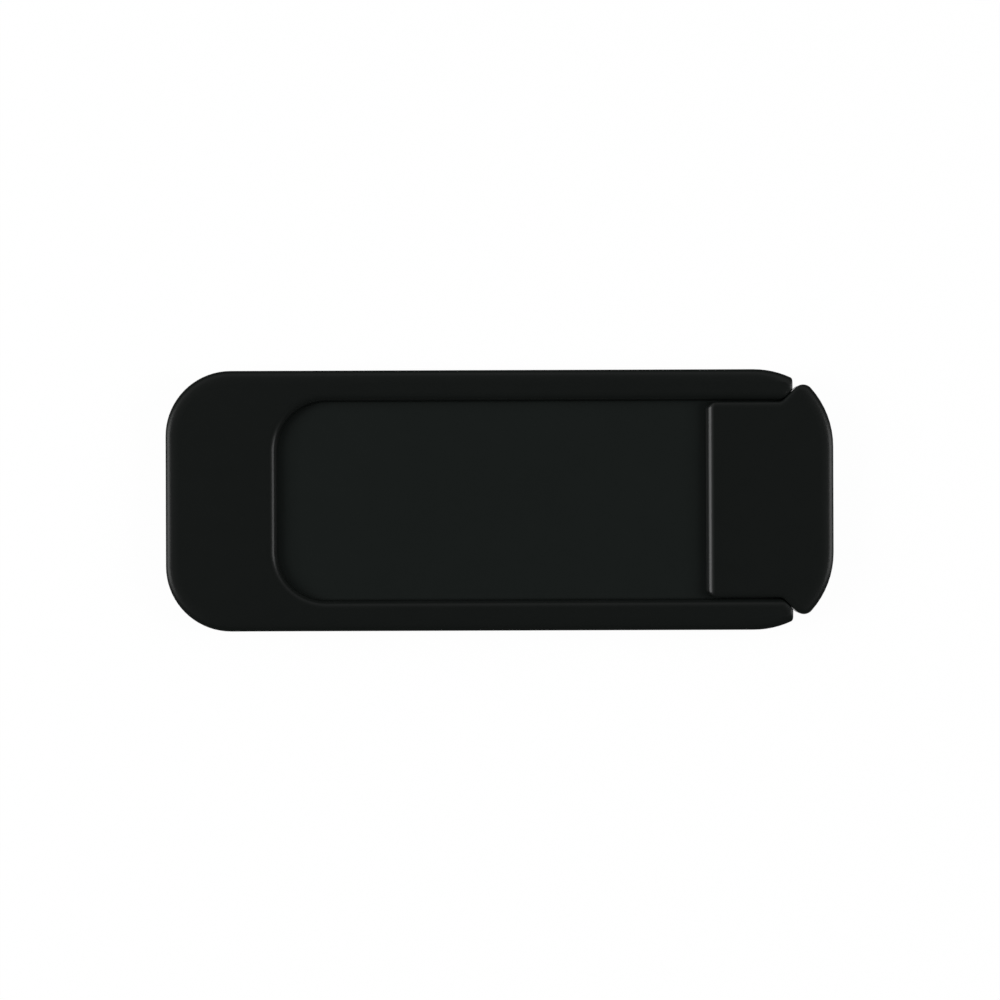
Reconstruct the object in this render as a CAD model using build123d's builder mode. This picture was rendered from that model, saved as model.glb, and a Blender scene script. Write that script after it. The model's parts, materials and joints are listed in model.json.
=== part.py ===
"""Webcam cover slider: a U-shaped stick-on frame with a pull-out shutter.

Millimetres. +X points the way the shutter pulls out, +Z away from the screen that the cover sticks to.
The origin lies under the middle of the closed cover, on the sticky face of the tape.
"""

import os

from build123d import *

# Frame, seen from above
overall_width = 16.0
frame_length = 38.5  # root end to arm tips
root_length = 6.8  # root end to the window
root_corner_radius = 4.0
arm_width = 1.9
window_corner_radius = 2.6
bow_length = 2.4  # tapering stretch at each arm's tip
bow_radius = 5.4
tip_width = 0.6  # end face of each arm, left by the chamfer on its inner corner

# Groove in the arms and the root, with a snap bump near each tip
lower_lip = 0.6
upper_lip = 0.7
groove_wall = 1.0  # groove to the outer face of the arm
pocket_depth = 1.7
groove_corner_radius = 0.6
bump_height = 0.25
bump_crest = 0.4
bump_ramp = 0.4
bump_setback = 1.6  # bump to arm tip

# Shutter plate and its stop lugs
plate_thickness = 0.7
plate_corner_radius = 0.8
plate_lead_in = 0.2
lug_crest = 1.0
lug_ramp = 0.6
travel = 14.0

# Grip at the open end of the shutter
grip_length = 7.8
grip_overhang = 2.5  # arm tips to the end of the grip, closed
grip_corner_radius = 0.5
grip_wall = 0.8
grip_skin = 0.8
grip_rib = 0.8
grip_ribs = 2
flank_foot_radius = 0.5  # where each wing leaves the side of the grip
wing_radius = 0.8
end_flat = 6.5
end_radius = 5.4

# Tape
tape_thickness = 0.3
tape_inset = 0.3

# Rounded edges and clearances
edge_radius = 0.45
tip_edge_radius = 0.2  # all round the end of each arm
base_edge_radius = 0.12
slide_clearance = 0.1  # above and below the plate, and beside its edges
grip_clearance = 0.1  # grip to arms
wing_clearance = 0.12  # wings to arm tips, closed
pocket_clearance = 0.2  # plate to the end of the pocket, closed
floor_clearance = 0.15  # grip above the underside of the frame
stop_clearance = 0.05  # lugs to bumps, fully open

# Places worked out from the sizes above
overall_length = frame_length + grip_overhang
root_x = -overall_length / 2
grip_end_x = overall_length / 2
tip_x = root_x + frame_length
window_x = root_x + root_length
pocket_x = window_x - pocket_depth
plate_x = pocket_x + pocket_clearance
grip_x = grip_end_x - grip_length
arm_inner_y = overall_width / 2 - arm_width
groove_y = overall_width / 2 - groove_wall
bump_y = groove_y - bump_height
tongue_y = bump_y - slide_clearance
lug_y = groove_y - slide_clearance
grip_y = arm_inner_y - grip_clearance
frame_z = tape_thickness
groove_z = frame_z + lower_lip
plate_z = groove_z + slide_clearance
groove_height = plate_thickness + 2 * slide_clearance
frame_height = lower_lip + groove_height + upper_lip
top_z = frame_z + frame_height
grip_z = frame_z + floor_clearance
bump_end_x = tip_x - bump_setback
bump_x = bump_end_x - bump_crest - bump_ramp
lug_end_x = bump_x - stop_clearance - travel
lug_x = lug_end_x - lug_crest - lug_ramp
bow_drop = bow_radius - (bow_radius**2 - bow_length**2) ** 0.5
tip_chamfer = overall_width / 2 - bow_drop - tip_width - arm_inner_y
chamfer_foot_x = tip_x - tip_chamfer
flank_foot_x = chamfer_foot_x - grip_clearance + wing_clearance * 2**0.5
tongue_end_x = flank_foot_x + arm_width / 2  # inside the wings

FROM_LEFT = (Align.MIN, Align.CENTER)
FROM_RIGHT = (Align.MAX, Align.CENTER)


# Plan of the U-shaped frame: a rounded outline with bowed arm tips, less the window
with BuildSketch() as window_plan:
    with Locations((window_x, 0)):
        Rectangle(frame_length, 2 * arm_inner_y, align=FROM_LEFT)
    fillet(window_plan.vertices().group_by(Axis.X)[0], window_corner_radius)

with BuildSketch() as frame_plan:
    with Locations((root_x, 0)):
        Rectangle(frame_length - bow_length + bow_radius, overall_width, align=FROM_LEFT)
    fillet(frame_plan.vertices().group_by(Axis.X)[0], root_corner_radius)
    fillet(frame_plan.vertices().group_by(Axis.X)[-1], bow_radius)
    with Locations((root_x, 0)):
        Rectangle(frame_length, overall_width, align=FROM_LEFT, mode=Mode.INTERSECT)
    add(window_plan.sketch, mode=Mode.SUBTRACT)
    inner_tips = frame_plan.vertices().group_by(Axis.X)[-1].sort_by(lambda v: abs(v.Y))[:2]
    chamfer(inner_tips, tip_chamfer)

# Plan of the groove: open at the arm tips, with a ramped bump on each side wall
with BuildSketch() as groove_plan:
    with Locations((pocket_x, 0)):
        Rectangle(tip_x - pocket_x, 2 * groove_y, align=FROM_LEFT)
    fillet(groove_plan.vertices().group_by(Axis.X)[0], groove_corner_radius)
    with BuildLine():
        Polyline(
            (bump_x, groove_y),
            (bump_x, bump_y),
            (bump_end_x - bump_ramp, bump_y),
            (bump_end_x, groove_y),
            close=True,
        )
    make_face(mode=Mode.SUBTRACT)
    mirror(about=Plane.XZ, mode=Mode.INTERSECT)


def ends_arm(face):
    """Whether a face of the frame is the end or the chamfer of an arm."""
    return face.normal_at().X > 0.5 and face.center().X > chamfer_foot_x


with BuildPart() as frame:
    with BuildSketch(Plane.XY.offset(frame_z)):
        add(frame_plan.sketch)
    extrude(amount=frame_height)
    top_edges = frame.faces().sort_by(Axis.Z)[-1].edges()
    fillet(top_edges - frame.faces().filter_by(ends_arm).edges(), edge_radius)
    base_edges = frame.faces().sort_by(Axis.Z)[0].edges()
    fillet(frame.faces().filter_by(ends_arm).edges() - base_edges, tip_edge_radius)
    fillet(frame.faces().sort_by(Axis.Z)[0].edges(), base_edge_radius)
    with BuildSketch(Plane.XY.offset(groove_z)):
        add(groove_plan.sketch)
    extrude(amount=groove_height, mode=Mode.SUBTRACT)
frame.part.label = "frame"


# Plan of the shutter plate: a tongue for the groove, with a ramped stop lug on each edge
with BuildSketch() as plate_plan:
    with Locations((plate_x, 0)):
        Rectangle(tongue_end_x - plate_x, 2 * tongue_y, align=FROM_LEFT)
    fillet(plate_plan.vertices().group_by(Axis.X)[0], plate_corner_radius)
    with BuildLine():
        Polyline(
            (lug_x, tongue_y),
            (lug_x + lug_ramp, lug_y),
            (lug_end_x, lug_y),
            (lug_end_x, tongue_y),
            close=True,
        )
    make_face()
    mirror(about=Plane.XZ)

# Plan of the grip: a block between the arms, flaring into wings past the arm tips, with a bowed end
with BuildSketch() as end_plan:
    with Locations((grip_end_x, 0)):
        Rectangle(grip_length, end_flat + 2 * end_radius, align=FROM_RIGHT)
    fillet(end_plan.vertices().group_by(Axis.X)[-1], end_radius)

with BuildSketch() as grip_plan:
    with Locations((grip_x, 0)):
        Rectangle(grip_length, 2 * grip_y, align=FROM_LEFT)
    with BuildLine():
        Polyline(
            (flank_foot_x, 0),
            (flank_foot_x, grip_y),
            (flank_foot_x + arm_width, grip_y + arm_width),
            (grip_end_x, grip_y + arm_width),
            (grip_end_x, 0),
            close=True,
        )
    make_face()
    mirror(about=Plane.XZ)
    add(end_plan.sketch, mode=Mode.INTERSECT)
    fillet(grip_plan.vertices().group_by(Axis.X)[0], grip_corner_radius)
    wing_tips = grip_plan.vertices().group_by(Axis.Y)
    fillet([*wing_tips[0], *wing_tips[-1]], wing_radius)
    flank_feet = [
        grip_plan.vertices().sort_by_distance((flank_foot_x, side * grip_y))[0] for side in (-1, 1)
    ]
    fillet(flank_feet, flank_foot_radius)

# Cells cored out of the underside of the grip, between its ribs
with BuildSketch() as core_plan:
    offset(grip_plan.face(), amount=-grip_wall)
    rib_pitch = 2 * (grip_y - grip_wall) / (grip_ribs + 1)
    with Locations((grip_x + grip_length / 2, 0)):
        with GridLocations(0, rib_pitch, 1, grip_ribs):
            Rectangle(grip_length, grip_rib, mode=Mode.SUBTRACT)

with BuildPart() as slider:
    with BuildSketch(Plane.XY.offset(plate_z)):
        add(plate_plan.sketch)
    extrude(amount=plate_thickness)
    chamfer(slider.edges().filter_by(Axis.Y).group_by(Axis.X)[0], plate_lead_in)
    with BuildSketch(Plane.XY.offset(grip_z)):
        add(grip_plan.sketch)
    extrude(amount=top_z - grip_z)
    fillet(slider.faces().sort_by(Axis.Z)[-1].edges(), edge_radius)
    fillet(slider.faces().sort_by(Axis.Z)[0].edges(), base_edge_radius)
    with BuildSketch(Plane.XY.offset(grip_z)):
        add(core_plan.sketch)
    extrude(amount=top_z - grip_skin - grip_z, mode=Mode.SUBTRACT)
slider.part.label = "slider"


# Die-cut tape on the underside of the frame
with BuildPart() as adhesive_pad:
    with BuildSketch():
        offset(frame_plan.face(), amount=-tape_inset)
    extrude(amount=tape_thickness)
adhesive_pad.part.label = "adhesive_pad"


os.makedirs("parts", exist_ok=True)
for piece in (frame, slider, adhesive_pad):
    export_step(piece.part, f"parts/{piece.part.label}.step")
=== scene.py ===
"""Looks of the webcam cover slider: two mouldings, the tape, the studio and the camera above.

Metres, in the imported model's frame: +X the way the shutter pulls out, +Z away from the screen.
"""

import json
from collections import namedtuple
from math import asin, atan2, cos, degrees, pi, radians, sin, sqrt, tan

import bmesh
import bpy
from mathutils import Matrix, Vector
from mathutils.geometry import intersect_line_sphere_2d


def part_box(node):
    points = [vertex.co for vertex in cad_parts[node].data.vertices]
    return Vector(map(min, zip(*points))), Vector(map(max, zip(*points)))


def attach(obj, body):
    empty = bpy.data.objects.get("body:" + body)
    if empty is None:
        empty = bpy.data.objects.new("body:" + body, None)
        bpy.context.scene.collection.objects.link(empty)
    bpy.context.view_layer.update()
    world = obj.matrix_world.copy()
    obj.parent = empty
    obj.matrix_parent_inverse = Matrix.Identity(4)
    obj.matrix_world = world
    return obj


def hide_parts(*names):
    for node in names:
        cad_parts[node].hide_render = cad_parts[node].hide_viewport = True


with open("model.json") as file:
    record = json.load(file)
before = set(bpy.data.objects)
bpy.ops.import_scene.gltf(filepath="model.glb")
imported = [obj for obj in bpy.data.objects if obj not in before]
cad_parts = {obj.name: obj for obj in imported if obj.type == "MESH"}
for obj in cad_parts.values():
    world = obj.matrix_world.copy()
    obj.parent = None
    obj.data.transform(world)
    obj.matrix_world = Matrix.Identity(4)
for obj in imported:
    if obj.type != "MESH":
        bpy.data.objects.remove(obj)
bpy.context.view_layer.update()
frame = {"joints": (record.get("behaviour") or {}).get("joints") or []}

MM = 0.001
NEAR = 0.0005 * MM  # points closer than this are one point
BASE_EDGE_SEGMENTS = 7
TAPE_EDGE_SEGMENTS = 2
SHUTTER_FINISH, RUBBED_FINISH = 1, 2  # places in the slider's list of materials

# Angles between the two faces at an edge, in degrees
FLAT_EDGE = 1  # below this, the edge only divides one face
SHARP_EDGE = 16  # above this, the shading breaks
RIM_EDGE = 45  # above this, a level face meets a wall

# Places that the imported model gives
frame_low, frame_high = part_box("frame")
slider_low, slider_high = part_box("slider")
tape_low, tape_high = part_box("adhesive_pad")
travel = frame["joints"][0]["range_m"][1]
root_x, tip_x, half_width = frame_low.x, frame_high.x, frame_high.y
plate_x, grip_end_x = slider_low.x, slider_high.x
frame_z, top_z, grip_z = frame_low.z, frame_high.z, slider_low.z
tape_inset = half_width - tape_high.y

# Frame, seen from above
root_length = 6.8 * MM
root_corner_radius = 4.0 * MM
arm_width = 1.9 * MM
window_corner_radius = 3.05 * MM
bow_length = 2.4 * MM  # tapering stretch at each arm's tip
bow_radius = 5.4 * MM
tip_width = 0.7 * MM
tip_radius = 0.24 * MM
tip_chamfer_radius = 0.12 * MM
tip_foot_radius = 0.5 * MM

# Groove in the arms and the root, with a snap bump near each tip
lower_lip = 0.6 * MM
upper_lip = 0.7 * MM
groove_wall = 1.0 * MM
pocket_depth = 1.7 * MM
groove_corner_radius = 0.6 * MM
bump_height = 0.25 * MM
bump_crest = 0.4 * MM
bump_ramp = 0.4 * MM
bump_setback = 1.6 * MM
bump_face = 0.02 * MM  # run of the bump's steep face

# Shutter plate, its stop lugs and its grip
plate_corner_radius = 0.8 * MM
plate_lead_in = 0.2 * MM
lug_crest = 1.0 * MM
lug_ramp = 0.6 * MM
grip_length = 7.8 * MM
grip_corner_radius = 0.5 * MM
grip_wall = 0.8 * MM
grip_skin = 0.8 * MM
grip_rib = 0.8 * MM
cell_corner_radius = 0.2 * MM
flank_foot_radius = 0.5 * MM
wing_radius = 0.65 * MM
end_flat = 6.5 * MM
end_radius = 5.4 * MM

# Rounded edges and clearances
outer_radius = 0.58 * MM  # on the outer edges, a shallow round that ends in a crisp rim
outer_round = 0.4 * MM
outer_shoulder = 0.5 * MM
inner_radius = 0.4 * MM  # round the window and along the arms
inner_shoulder = 0.22 * MM
front_radius = 0.54 * MM  # on the grip's front
front_round = 0.485 * MM
front_shoulder = 0.22 * MM
side_radius = 0.22 * MM  # on the grip's sides and flanks and the arms' tips
side_round = 0.16 * MM
side_shoulder = 0.28 * MM
shoulder_drop = 0.026 * MM  # of the soft shoulder above each round
edge_drops = [drop * MM for drop in (
    0.42, 0.33, 0.25, 0.19, 0.16, 0.13, 0.1, 0.07, 0.046, 0.026, 0.0146, 0.0065, 0.0016, 0
)]  # below the top, of the outlines that make a round, from the wall up
base_edge_radius = 0.12 * MM
tape_edge_radius = 0.03 * MM
slide_clearance = 0.1 * MM
grip_clearance = 0.1 * MM
wing_clearance = 0.05 * MM
stop_clearance = 0.05 * MM

# Steps in the arcs of the outlines
corner_steps = 18
bow_steps = 6
tip_steps = 8
chamfer_steps = 6
flank_steps = 9
wing_steps = 21
end_steps = 8
cell_steps = 6

# Places worked out from the sizes above
EIGHTH = tan(radians(22.5))  # setback of a 45 degree turn, for a radius of 1
window_x = root_x + root_length
pocket_x = window_x - pocket_depth
grip_x = grip_end_x - grip_length
arm_inner_y = half_width - arm_width
groove_y = half_width - groove_wall
bump_y = groove_y - bump_height
tongue_y = bump_y - slide_clearance
lug_y = groove_y - slide_clearance
grip_y = arm_inner_y - grip_clearance
groove_z = frame_z + lower_lip
groove_top_z = top_z - upper_lip
plate_z = groove_z + slide_clearance
plate_top_z = groove_top_z - slide_clearance
bump_end_x = tip_x - bump_setback
bump_x = bump_end_x - bump_crest - bump_ramp
lug_end_x = bump_x - stop_clearance - travel
lug_x = lug_end_x - lug_crest - lug_ramp
bow_drop = bow_radius - sqrt(bow_radius**2 - bow_length**2)
tip_chamfer = half_width - bow_drop - tip_width - arm_inner_y
chamfer_foot_x = tip_x - tip_chamfer
flank_foot_x = chamfer_foot_x - grip_clearance + wing_clearance * sqrt(2)
tongue_end_x = flank_foot_x + tongue_y - grip_y
rib_y = (grip_y - grip_wall) / 3  # two ribs divide the core in three

# No outline's corner at an arm's tip lies further in than this, so each stays inside the last
tip_land_y = arm_inner_y + tip_chamfer + (side_round + side_shoulder + tip_chamfer_radius) * EIGHTH

# Finish of the mouldings
black = (0.0058, 0.0069, 0.0064)
black_gloss = (0.285, 0.3)  # lowest and highest roughness
black_grain = (0.14 * MM, 0.0021 * MM)  # size and depth
shutter_black = (0.0077, 0.0096, 0.0089)
shutter_gloss = (0.29, 0.305)
shutter_grain = (0.12 * MM, 0.0017 * MM)
plastic_shine = 0.125  # specular level of a matt black moulding
rubbed_shine = 0.205  # of the grip's front edge, polished by fingertips
grain_detail = 2
grain_crumble = 0.6  # strength of the finest grain
cloud_size = 5 * MM
cloud_detail = 3
cloud_contrast = 0.02  # lighter and darker than the colour, as a share of it
gloss_cloud_size = 1.2 * MM
noise_low, noise_high = 0.3, 0.7  # most of a noise lies between these

# Finish of the tape
foam_dark = (0.58, 0.58, 0.56)
foam_light = (0.66, 0.66, 0.64)
foam_gloss = (0.35, 0.5)
foam_cell_size = 0.12 * MM
foam_depth = 0.02 * MM
foam_strength = 0.6
film_size = 1.5 * MM

# Studio
floor_size = 6.0
floor_gap = 0.02 * MM
floor_shade = 0.95
floor_glow = 0.97
panel_distance = 0.272
panel_height = 0.212
panel_size = 0.198
left_width = 0.15
left_radiance = 8.6
right_width = 0.12
right_radiance = 8.4
room_level = 0.03
horizon_level = 1.0
horizon_low = 0.02
horizon_high = 0.10
ring_radiance = 0.85  # band of soft light high up, open on the near side
ring_angles = (30, 45, 62, 80)  # degrees up, where it starts, is full, fades and ends
ring_open_y = -0.4  # it fades from the middle to here

# Camera, straight above
sensor_width = 36  # as the lens takes it, in millimetres
focal_length = 110
clip_factor = 100  # nearest and farthest seen, against the cover's distance
view_width = 61.34 * MM  # across the picture, at the cover's top
view_x = 0.024 * MM
view_y = 0.02 * MM
view_roll = -0.2  # degrees


# How far an outline is set in from each kind of edge
Insets = namedtuple("Insets", "outer inner front side")
AT_WALL = Insets(0, 0, 0, 0)


def on_arc(centre, radius, angle):
    """The point of a circle at an angle in degrees."""
    return centre + Vector((radius, 0)) @ Matrix.Rotation(radians(-angle), 2)


def draw_chain(bm, z, start, stretches, end):
    """Draws straight runs joined by stretches of arc.

    A stretch is a centre, a radius, its two angles and its steps, and one of no steps is a sharp
    corner. Returns the edges and the chain's two ends.
    """
    before = set(bm.edges)
    first = pen = bmesh.ops.create_vert(bm, co=(*start, z))["vert"][0]
    for centre, radius, angle, last_angle, steps in stretches:
        pen = bmesh.ops.extrude_vert_indiv(bm, verts=[pen])["verts"][0]
        pen.co = on_arc(centre, radius, angle).to_3d() + Vector((0, 0, z))
        if steps:
            turn = radians(last_angle - angle)
            pen = bmesh.ops.spin(
                bm, geom=[pen], cent=(*centre, z), axis=(0, 0, 1), angle=turn, steps=steps
            )["geom_last"][0]
    pen = bmesh.ops.extrude_vert_indiv(bm, verts=[pen])["verts"][0]
    pen.co = (*end, z)
    return [edge for edge in bm.edges if edge not in before], [first, pen]


def sharp(x, y):
    """A corner of an outline that isn't rounded."""
    return Vector((x, y)), 0, 0, 0, 0


def fill(bm, chain, ends):
    """The face inside a chain, closed by an edge between its ends."""
    closing = bmesh.ops.contextual_create(bm, geom=ends)["edges"]
    return bmesh.ops.contextual_create(bm, geom=[*chain, *closing])["faces"][0]


def push_faces(bm, faces, move=(0, 0, 0)):
    """Extrudes a region of faces. Returns its new faces and its new points."""
    edges = {edge for face in faces for edge in face.edges}
    grown = bmesh.ops.extrude_face_region(bm, geom=[*faces, *edges])["geom"]
    points = [part for part in grown if isinstance(part, bmesh.types.BMVert)]
    bmesh.ops.translate(bm, verts=points, vec=move)
    return [part for part in grown if isinstance(part, bmesh.types.BMFace)], points


def cut(bm, faces, point, normal):
    """Cuts faces along a plane and keeps both sides."""
    edges = {edge for face in faces for edge in face.edges}
    points = {vert for face in faces for vert in face.verts}
    bmesh.ops.bisect_plane(
        bm, geom=[*faces, *edges, *points], dist=NEAR, plane_co=point, plane_no=normal
    )


def mirror_half(bm):
    """Opens the half at the middle plane and makes it whole."""
    middle = [face for face in bm.faces if all(abs(vert.co.y) < NEAR for vert in face.verts)]
    bmesh.ops.delete(bm, geom=middle, context="FACES")
    bmesh.ops.remove_doubles(bm, verts=bm.verts[:], dist=NEAR)
    geometry = [*bm.verts, *bm.edges, *bm.faces]
    bmesh.ops.mirror(bm, geom=geometry, axis="Y", merge_dist=NEAR)
    bmesh.ops.recalc_face_normals(bm, faces=bm.faces[:])
    seam = [
        edge for edge in bm.edges
        if all(abs(vert.co.y) < NEAR for vert in edge.verts)
        and edge.calc_face_angle(0) < radians(FLAT_EDGE)
    ]
    bmesh.ops.dissolve_edges(bm, edges=seam, use_verts=True)


def rim_edges(bm, z):
    """The edges at a height where a level face meets a wall, less those on the middle plane."""
    return [
        edge for edge in bm.edges
        if all(abs(vert.co.z - z) < NEAR for vert in edge.verts)
        and any(abs(vert.co.y) > NEAR for vert in edge.verts)
        and edge.calc_face_angle(0) > radians(RIM_EDGE)
    ]


def round_edges(bm, edges, radius, segments):
    """Rounds edges to a radius, and merges the points where a tight corner closes up."""
    bmesh.ops.bevel(
        bm, geom=edges, offset=radius, offset_type="OFFSET", affect="EDGES",
        segments=segments, profile=0.5, material=-1,
    )
    bmesh.ops.remove_doubles(bm, verts=bm.verts[:], dist=NEAR)


def set_in(drop, shoulder, radius, width):
    """How far an edge is set in at a drop below the top, by its round and the shoulder above."""
    tilt = atan2(2 * shoulder_drop, shoulder)
    if drop < shoulder_drop:
        return width - radius * sin(tilt) + shoulder * (1 - sqrt(drop / shoulder_drop))
    reach = max(0, radius * cos(tilt) + shoulder_drop - drop)
    return max(0, width - sqrt(radius**2 - reach**2))


def round_top(bm, draw):
    """Closes a half piece with its rounded edges and its top, from the outline at each height."""
    below = None
    for drop in edge_drops:
        insets = Insets(
            set_in(drop, outer_shoulder, outer_radius, outer_round),
            set_in(drop, inner_shoulder, inner_radius, inner_radius),
            set_in(drop, front_shoulder, front_radius, front_round),
            set_in(drop, side_shoulder, side_radius, side_round),
        )
        chain, ends = draw(bm, top_z - drop, insets)
        if below:
            bmesh.ops.bridge_loops(bm, edges=[*below, *chain])
        below = chain
    fill(bm, below, ends)
    bmesh.ops.remove_doubles(bm, verts=bm.verts[:], dist=NEAR)


def finish_piece(bm, name, node, body, materials):
    """Makes the object of a piece, which stands for a node and rides on its body."""
    mesh = bpy.data.meshes.new(name)
    bm.to_mesh(mesh)
    bm.free()
    mesh.shade_smooth()
    mesh.set_sharp_from_angle(angle=radians(SHARP_EDGE))
    for material in materials:
        mesh.materials.append(material)
    piece = bpy.data.objects.new(name, mesh)
    bpy.context.scene.collection.objects.link(piece)
    normals = piece.modifiers.new("even_shading", "WEIGHTED_NORMAL")
    normals.keep_sharp = True
    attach(piece, body)
    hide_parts(node)


def bow_arm(outer, side):
    """The bow of an arm and the corner at its tip, as two stretches of the frame's outline."""
    setback = side + tip_radius
    bow_y = half_width - outer - tip_radius
    reach = bow_length - setback
    radius = bow_radius - outer - tip_radius
    corner_y = max(bow_y - radius + sqrt(radius**2 - reach**2), tip_land_y)
    drop = bow_y - corner_y
    radius = (reach**2 + drop**2) / (2 * drop)
    angle = 90 - degrees(asin(reach / radius))
    bow_centre = Vector((tip_x - bow_length, bow_y - radius))
    tip_corner = Vector((tip_x - setback, corner_y))
    return [
        (bow_centre, radius + tip_radius, 90, angle, bow_steps),
        (tip_corner, tip_radius, angle, 0, tip_steps),
    ]


def draw_frame(bm, z, insets):
    """Half the frame's outline, from the root's end round an arm to the window."""
    outer, inner, _, side = insets
    root_corner = Vector((root_x + root_corner_radius, half_width - root_corner_radius))
    setback = side + tip_chamfer_radius
    chamfer_corner = Vector((tip_x - setback, arm_inner_y + tip_chamfer + setback * EIGHTH))
    foot_round = max(0, tip_foot_radius - (inner + side) / 2)
    foot_rise = inner + foot_round
    foot_x = chamfer_foot_x + foot_rise - (side + foot_round) * sqrt(2)
    foot_corner = Vector((foot_x, arm_inner_y + foot_rise))
    window_corner = Vector((window_x + window_corner_radius, arm_inner_y - window_corner_radius))
    stretches = [
        (root_corner, root_corner_radius - outer, 180, 90, corner_steps),
        *bow_arm(outer, side),
        (chamfer_corner, tip_chamfer_radius, 0, -45, chamfer_steps),
        (foot_corner, foot_round, -45, -90, chamfer_steps),
        (window_corner, window_corner_radius + inner, 90, 180, corner_steps),
    ]
    return draw_chain(bm, z, (root_x + outer, 0), stretches, (window_x - inner, 0))


def in_groove(face):
    """Whether a face stands in the groove's band of height."""
    return groove_z < face.calc_center_median().z < groove_top_z


def sink_groove(bm):
    """Sinks the groove into the half frame's inner walls, from the root's pocket to the arm's tip."""
    for z in (groove_z, groove_top_z):
        cut(bm, bm.faces[:], (0, 0, z), (0, 0, 1))
    tip = [
        face for face in bm.faces
        if in_groove(face) and face.calc_center_median().x > chamfer_foot_x
    ]
    cut(bm, tip, (0, groove_y, 0), (0, 1, 0))
    mouth = [
        face for face in bm.faces
        if in_groove(face)
        and face.calc_center_median().x > window_x - NEAR
        and face.calc_center_median().y < groove_y
    ]
    _, points = push_faces(bm, mouth)

    window_corner = Vector((window_x + window_corner_radius, arm_inner_y - window_corner_radius, 0))
    groove_corner = Vector((pocket_x + groove_corner_radius, groove_y - groove_corner_radius, 0))
    end = [vert for vert in points if vert.co.y < NEAR]
    corner = [
        vert for vert in points
        if vert.co.x < window_corner.x + NEAR and vert.co.y > window_corner.y - NEAR
    ]
    arm = [vert for vert in points if vert.co.x > window_corner.x + NEAR]
    shrink = groove_corner_radius / window_corner_radius
    bmesh.ops.translate(bm, verts=end, vec=(pocket_x - window_x, 0, 0))
    bmesh.ops.scale(
        bm, verts=corner, vec=(shrink, shrink, 1), space=Matrix.Translation(-window_corner)
    )
    bmesh.ops.translate(bm, verts=corner, vec=groove_corner - window_corner)
    bmesh.ops.scale(bm, verts=arm, vec=(1, 0, 1), space=Matrix.Translation((0, -groove_y, 0)))
    bmesh.ops.remove_doubles(bm, verts=bm.verts[:], dist=NEAR)


def raise_bump(bm):
    """Raises the snap bump on the back wall of the half frame's groove."""
    for x in (bump_x - bump_face, bump_x, bump_x + bump_crest, bump_end_x):
        wall = [
            face for face in bm.faces
            if in_groove(face) and all(abs(vert.co.y - groove_y) < NEAR for vert in face.verts)
        ]
        cut(bm, wall, (x, 0, 0), (1, 0, 0))
    crest = [
        vert for vert in bm.verts
        if bump_x - NEAR < vert.co.x < bump_x + bump_crest + NEAR
        and abs(vert.co.y - groove_y) < NEAR
    ]
    bmesh.ops.translate(bm, verts=crest, vec=(0, -bump_height, 0))


def build_frame(materials):
    """The U-shaped frame with its groove."""
    bm = bmesh.new()
    plan = fill(bm, *draw_frame(bm, frame_z, AT_WALL))
    lid, _ = push_faces(bm, [plan], (0, 0, top_z - edge_drops[0] - frame_z))
    bmesh.ops.delete(bm, geom=lid, context="FACES")
    round_top(bm, draw_frame)
    sink_groove(bm)
    raise_bump(bm)
    mirror_half(bm)
    round_edges(bm, rim_edges(bm, frame_z), base_edge_radius, BASE_EDGE_SEGMENTS)
    finish_piece(bm, "frame_moulding", "frame", "fixed_frame", materials)


def backwards(stretches):
    """The same stretches of an outline, drawn the other way."""
    return [
        (centre, radius, last_angle, angle, steps)
        for centre, radius, angle, last_angle, steps in reversed(stretches)
    ]


def meet_wing(flank_setback, end_setback):
    """Where the grip's flank and its bowed end meet, both set back, with the end's angle there."""
    end_centre = Vector((grip_end_x - end_radius, end_flat / 2))
    flank = Vector((flank_foot_x, grip_y)) + Vector((1, -1)).normalized() * flank_setback
    meetings = intersect_line_sphere_2d(
        flank, flank + Vector((1, 1)), end_centre, end_radius - end_setback, False
    )
    point = max(meetings, key=lambda meeting: meeting.x)
    reach = point - end_centre
    return point, degrees(atan2(reach.y, reach.x))


def grip_stretches(insets):
    """Half the grip's outline, from the window round to the bowed end."""
    outer, _, front, side = insets
    corner_round = max(0, grip_corner_radius - (front + side) / 2)
    grip_corner = Vector((grip_x + front + corner_round, grip_y - side - corner_round))
    flank_foot = Vector((flank_foot_x - flank_foot_radius * EIGHTH, grip_y + flank_foot_radius))
    end_centre = Vector((grip_end_x - end_radius, end_flat / 2))
    wing_round = max(0, wing_radius - (outer + side) / 2)
    wing_centre, wing_angle = meet_wing(side + wing_round, outer + wing_round)
    return [
        (grip_corner, corner_round, 180, 90, corner_steps),
        (flank_foot, flank_foot_radius + side, -90, -45, flank_steps),
        sharp(tongue_end_x + side / sqrt(2), tongue_y - side / sqrt(2)),
        (wing_centre, wing_round, 135, wing_angle, wing_steps),
        (end_centre, end_radius - outer, wing_angle, 0, end_steps),
    ]


def draw_grip(bm, z, insets):
    """Half the grip's outline at a height."""
    start, end = (grip_x + insets.front, 0), (grip_end_x - insets.outer, 0)
    return draw_chain(bm, z, start, grip_stretches(insets), end)


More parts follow.
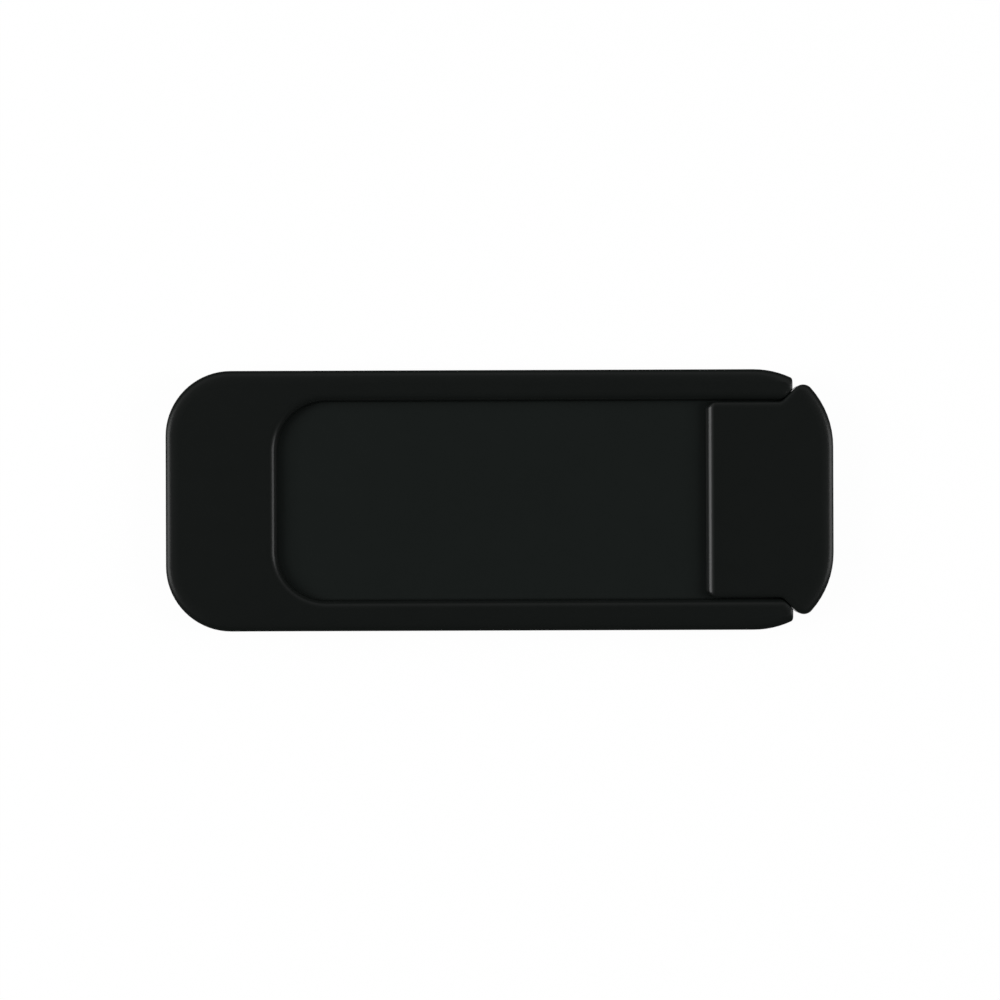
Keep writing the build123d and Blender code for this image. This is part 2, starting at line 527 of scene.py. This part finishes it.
def draw_slider_plan(bm):
    """Half the slider's plan: the plate, the grip's walls, and its cells with a rib between them."""
    grip = grip_stretches(AT_WALL)
    grip_corner, flank_foot, end_centre = grip[0][0], grip[1][0], grip[-1][0]
    _, cell_angle = meet_wing(grip_wall, grip_wall)
    cell_offset = grip_wall + cell_corner_radius - grip_corner_radius
    cell_corner = grip_corner + Vector((1, -1)) * cell_offset
    cells_x, cells_end_x = grip_x + grip_wall, grip_end_x - grip_wall
    cells = [
        (cell_corner, cell_corner_radius, 180, 90, cell_steps),
        (flank_foot, flank_foot_radius + grip_wall, -90, -45, flank_steps),
        (end_centre, end_radius - grip_wall, cell_angle, 0, end_steps),
    ]
    plate_corner = Vector((plate_x + plate_corner_radius, tongue_y - plate_corner_radius))
    plate = [
        *grip[:3],
        sharp(lug_end_x, tongue_y),
        sharp(lug_end_x, lug_y),
        sharp(lug_x + lug_ramp, lug_y),
        sharp(lug_x, tongue_y),
        (plate_corner, plate_corner_radius, 90, 180, corner_steps),
    ]
    walls = [*grip, sharp(grip_end_x, 0), sharp(cells_end_x, 0), *backwards(cells)]
    fill(bm, *draw_chain(bm, plate_z, (grip_x, 0), plate, (plate_x, 0)))
    fill(bm, *draw_chain(bm, plate_z, (grip_x, 0), walls, (cells_x, 0)))
    fill(bm, *draw_chain(bm, plate_z, (cells_x, 0), cells, (cells_end_x, 0)))
    bmesh.ops.remove_doubles(bm, verts=bm.verts[:], dist=NEAR)
    for y in (rib_y - grip_rib / 2, rib_y + grip_rib / 2):
        cut(bm, [face for face in bm.faces if is_core(face)], (0, y, 0), (0, 1, 0))


def is_core(face):
    """Whether a face of the slider's plan lies inside the grip's walls."""
    return all(grip_x + NEAR < vert.co.x < grip_end_x - NEAR for vert in face.verts)


def build_slider(materials):
    """The shutter plate with its stop lugs, and the grip, cored out underneath between two ribs."""
    bm = bmesh.new()
    draw_slider_plan(bm)
    plan = bm.faces[:]
    cells = [
        face for face in plan
        if is_core(face) and abs(face.calc_center_median().y - rib_y) > grip_rib / 2
    ]
    feet = [face for face in plan if face not in cells and face.calc_center_median().x > grip_x]
    tops, _ = push_faces(bm, plan, (0, 0, plate_top_z - plate_z))
    crown = [face for face in tops if face.calc_center_median().x > grip_x]
    lid, _ = push_faces(bm, crown, (0, 0, top_z - edge_drops[0] - plate_top_z))
    push_faces(bm, feet, (0, 0, grip_z - plate_z))
    push_faces(bm, cells, (0, 0, top_z - grip_skin - plate_z))
    bmesh.ops.delete(bm, geom=lid, context="FACES")
    round_top(bm, draw_grip)
    mirror_half(bm)
    round_edges(bm, rim_edges(bm, grip_z), base_edge_radius, BASE_EDGE_SEGMENTS)
    front = [
        edge for z in (plate_z, plate_top_z) for edge in rim_edges(bm, z)
        if all(vert.co.x < plate_x + plate_corner_radius + NEAR for vert in edge.verts)
    ]
    round_edges(bm, front, plate_lead_in, BASE_EDGE_SEGMENTS)

    # The plate and the grip's front edge have finishes of their own
    for face in bm.faces:
        centre = face.calc_center_median()
        if centre.x < grip_x - NEAR:
            face.material_index = SHUTTER_FINISH
        elif centre.x < grip_x + front_round and centre.z > plate_top_z:
            face.material_index = RUBBED_FINISH
    finish_piece(bm, "slider_moulding", "slider", "sliding_shutter", materials)


def build_tape(materials):
    """The die-cut tape under the frame."""
    bm = bmesh.new()
    insets = Insets(tape_inset, tape_inset, tape_inset, tape_inset)
    plan = fill(bm, *draw_frame(bm, tape_low.z, insets))
    push_faces(bm, [plan], (0, 0, tape_high.z - tape_low.z))
    bmesh.ops.remove_doubles(bm, verts=bm.verts[:], dist=NEAR)
    mirror_half(bm)
    round_edges(bm, rim_edges(bm, tape_low.z), tape_edge_radius, TAPE_EDGE_SEGMENTS)
    finish_piece(bm, "die_cut_tape", "adhesive_pad", "fixed_frame", materials)


class Nodes:
    """Adds nodes to a node tree and links them."""

    def __init__(self, owner):
        owner.use_nodes = True
        self.tree = owner.node_tree
        self.tree.nodes.clear()

    def add(self, kind, inputs=(), **settings):
        """Adds a node with its settings, and sets or links its inputs by name or number."""
        node = self.tree.nodes.new(kind)
        for setting, value in settings.items():
            setattr(node, setting, value)
        for socket, value in dict(inputs).items():
            if isinstance(value, bpy.types.NodeSocket):
                self.tree.links.new(value, node.inputs[socket])
            else:
                node.inputs[socket].default_value = value
        return node

    def combine(self, operation, first, second):
        """Adds a node that works out one value from two."""
        inputs = {0: first, 1: second}
        return self.add("ShaderNodeMath", inputs, operation=operation).outputs["Value"]

    def remap(self, value, start, end, low, high, kind="LINEAR"):
        """Adds a node that takes a value from one range to another."""
        inputs = {"Value": value, "From Min": start, "From Max": end, "To Min": low, "To Max": high}
        return self.add("ShaderNodeMapRange", inputs, interpolation_type=kind).outputs["Result"]


def noise(nodes, place, size, detail, crumble=0.5):
    """Noise whose lumps are about a size across."""
    inputs = {"Vector": place, "Scale": 1 / size, "Detail": detail, "Roughness": crumble}
    return nodes.add("ShaderNodeTexNoise", inputs).outputs["Fac"]


def spread(nodes, value, low, high):
    """The middle part of a noise, drawn out to the range between two values."""
    return nodes.remap(value, noise_low, noise_high, low, high)


def tint(nodes, value, dark, light):
    """The middle part of a noise, drawn out to the range between two colours."""
    ramp = nodes.add("ShaderNodeValToRGB", {"Fac": value})
    stops = zip(ramp.color_ramp.elements, (noise_low, noise_high), (dark, light))
    for stop, position, colour in stops:
        stop.position = position
        stop.color = (*colour, 1)
    return ramp.outputs["Color"]


def moulded_plastic(name, colour, gloss, grain, shine):
    """Moulded plastic with the fine grain of a spark-eroded mould.

    Faint clouds run through its colour and its gloss.
    """
    material = bpy.data.materials.new(name)
    nodes = Nodes(material)
    place = nodes.add("ShaderNodeTexCoord").outputs["Object"]
    clouds = noise(nodes, place, cloud_size, cloud_detail)
    dark, light = Vector(colour) * (1 - cloud_contrast), Vector(colour) * (1 + cloud_contrast)
    gloss_clouds = noise(nodes, place, gloss_cloud_size, cloud_detail)
    grain_size, grain_depth = grain
    height = noise(nodes, place, grain_size, grain_detail, grain_crumble)
    bump = nodes.add("ShaderNodeBump", {"Height": height, "Distance": grain_depth, "Strength": 1.0})
    surface = nodes.add("ShaderNodeBsdfPrincipled", {
        "Base Color": tint(nodes, clouds, dark, light),
        "Roughness": spread(nodes, gloss_clouds, *gloss),
        "Specular IOR Level": shine,
        "Normal": bump.outputs["Normal"],
    })
    nodes.add("ShaderNodeOutputMaterial", {"Surface": surface.outputs["BSDF"]})
    return material


def foam_tape(name):
    """Pale grey foam tape: fine cells in the foam, and a tacky film that lies a little uneven."""
    material = bpy.data.materials.new(name)
    nodes = Nodes(material)
    place = nodes.add("ShaderNodeTexCoord").outputs["Object"]
    cells = nodes.add("ShaderNodeTexVoronoi", {"Vector": place, "Scale": 1 / foam_cell_size})
    film = noise(nodes, place, film_size, cloud_detail)
    bump = nodes.add("ShaderNodeBump", {
        "Height": nodes.combine("ADD", cells.outputs["Distance"], film),
        "Distance": foam_depth,
        "Strength": foam_strength,
    })
    surface = nodes.add("ShaderNodeBsdfPrincipled", {
        "Base Color": tint(nodes, film, foam_dark, foam_light),
        "Roughness": spread(nodes, film, *foam_gloss),
        "Normal": bump.outputs["Normal"],
    })
    nodes.add("ShaderNodeOutputMaterial", {"Surface": surface.outputs["BSDF"]})
    return material


def lay_floor():
    """A pale table top under the tape, white to the camera and in reflections.

    It keeps the cover's soft shadow.
    """
    bm = bmesh.new()
    level = Matrix.Translation((0, 0, -floor_gap))
    bmesh.ops.create_grid(bm, x_segments=1, y_segments=1, size=floor_size / 2, matrix=level)
    mesh = bpy.data.meshes.new("table_top")
    bm.to_mesh(mesh)
    bm.free()
    material = bpy.data.materials.new("white_table")
    nodes = Nodes(material)
    path = nodes.add("ShaderNodeLightPath").outputs
    seen = nodes.combine("MAXIMUM", path["Is Camera Ray"], path["Is Glossy Ray"])
    seen = nodes.combine("MAXIMUM", seen, path["Is Transmission Ray"])
    share = nodes.combine("MULTIPLY", seen, floor_glow)
    colour = (floor_shade, floor_shade, floor_shade, 1)
    paint = nodes.add("ShaderNodeBsdfDiffuse", {"Color": colour})
    glow = nodes.add("ShaderNodeEmission", {"Color": (1, 1, 1, 1), "Strength": 1.0})
    surface = nodes.add("ShaderNodeMixShader", {
        0: share, 1: paint.outputs["BSDF"], 2: glow.outputs["Emission"],
    })
    nodes.add("ShaderNodeOutputMaterial", {"Surface": surface.outputs["Shader"]})
    mesh.materials.append(material)
    floor = bpy.data.objects.new("table_top", mesh)
    bpy.context.scene.collection.objects.link(floor)


def hang_panel(name, place, width, height, radiance):
    """A soft light panel that faces the object."""
    lamp = bpy.data.lights.new(name, "AREA")
    lamp.shape = "RECTANGLE"
    lamp.size, lamp.size_y = width, height
    lamp.energy = radiance * pi * width * height
    panel = bpy.data.objects.new(name, lamp)
    panel.location = place
    panel.rotation_euler = (-Vector(place)).to_track_quat("-Z", "Y").to_euler()
    panel.visible_camera = False
    bpy.context.scene.collection.objects.link(panel)


def light_studio():
    """Tall panels at both ends of the cover, and a dim room.

    The room has a pale horizon and a band of soft light high up.
    """
    left, right = (-panel_distance, 0, panel_height), (panel_distance, 0, panel_height)
    hang_panel("left_panel", left, left_width, panel_size, left_radiance)
    hang_panel("right_panel", right, right_width, panel_size, right_radiance)
    world = bpy.data.worlds.new("studio")
    bpy.context.scene.world = world
    nodes = Nodes(world)
    place = nodes.add("ShaderNodeTexCoord").outputs["Generated"]
    towards = nodes.add("ShaderNodeSeparateXYZ", {"Vector": place}).outputs

    def ease(value, start, end, low, high):
        """A soft step between two values."""
        return nodes.remap(value, start, end, low, high, "SMOOTHSTEP")

    room = ease(towards["Z"], horizon_low, horizon_high, horizon_level, room_level)
    start, full, fading, end = (sin(radians(angle)) for angle in ring_angles)
    rise = ease(towards["Z"], start, full, 0.0, ring_radiance)
    fall = ease(towards["Z"], fading, end, 1.0, 0.0)
    far_side = ease(towards["Y"], ring_open_y, 0.0, 0.0, 1.0)
    ring = nodes.combine("MULTIPLY", nodes.combine("MULTIPLY", rise, fall), far_side)
    strength = nodes.combine("ADD", room, ring)
    light = nodes.add("ShaderNodeBackground", {"Color": (1, 1, 1, 1), "Strength": strength})
    nodes.add("ShaderNodeOutputWorld", {"Surface": light.outputs["Background"]})


def set_camera():
    """A camera straight above the cover, with the photograph's framing."""
    lens = bpy.data.cameras.new("overhead")
    lens.sensor_width = sensor_width
    lens.lens = focal_length
    camera = bpy.data.objects.new("overhead", lens)
    distance = view_width * focal_length / sensor_width
    camera.location = (view_x, view_y, top_z + distance)
    camera.rotation_euler = (0, 0, radians(view_roll))
    lens.clip_start, lens.clip_end = distance / clip_factor, distance * clip_factor
    bpy.context.scene.collection.objects.link(camera)
    bpy.context.scene.camera = camera


black_plastic = moulded_plastic("black_plastic", black, black_gloss, black_grain, plastic_shine)
shutter_plastic = moulded_plastic(
    "shutter_plastic", shutter_black, shutter_gloss, shutter_grain, plastic_shine
)
rubbed_plastic = moulded_plastic("rubbed_plastic", black, black_gloss, black_grain, rubbed_shine)
build_frame([black_plastic])
build_slider([black_plastic, shutter_plastic, rubbed_plastic])
build_tape([foam_tape("grey_foam_tape")])
lay_floor()
light_studio()
set_camera()
bpy.context.scene.view_settings.view_transform = "Standard"
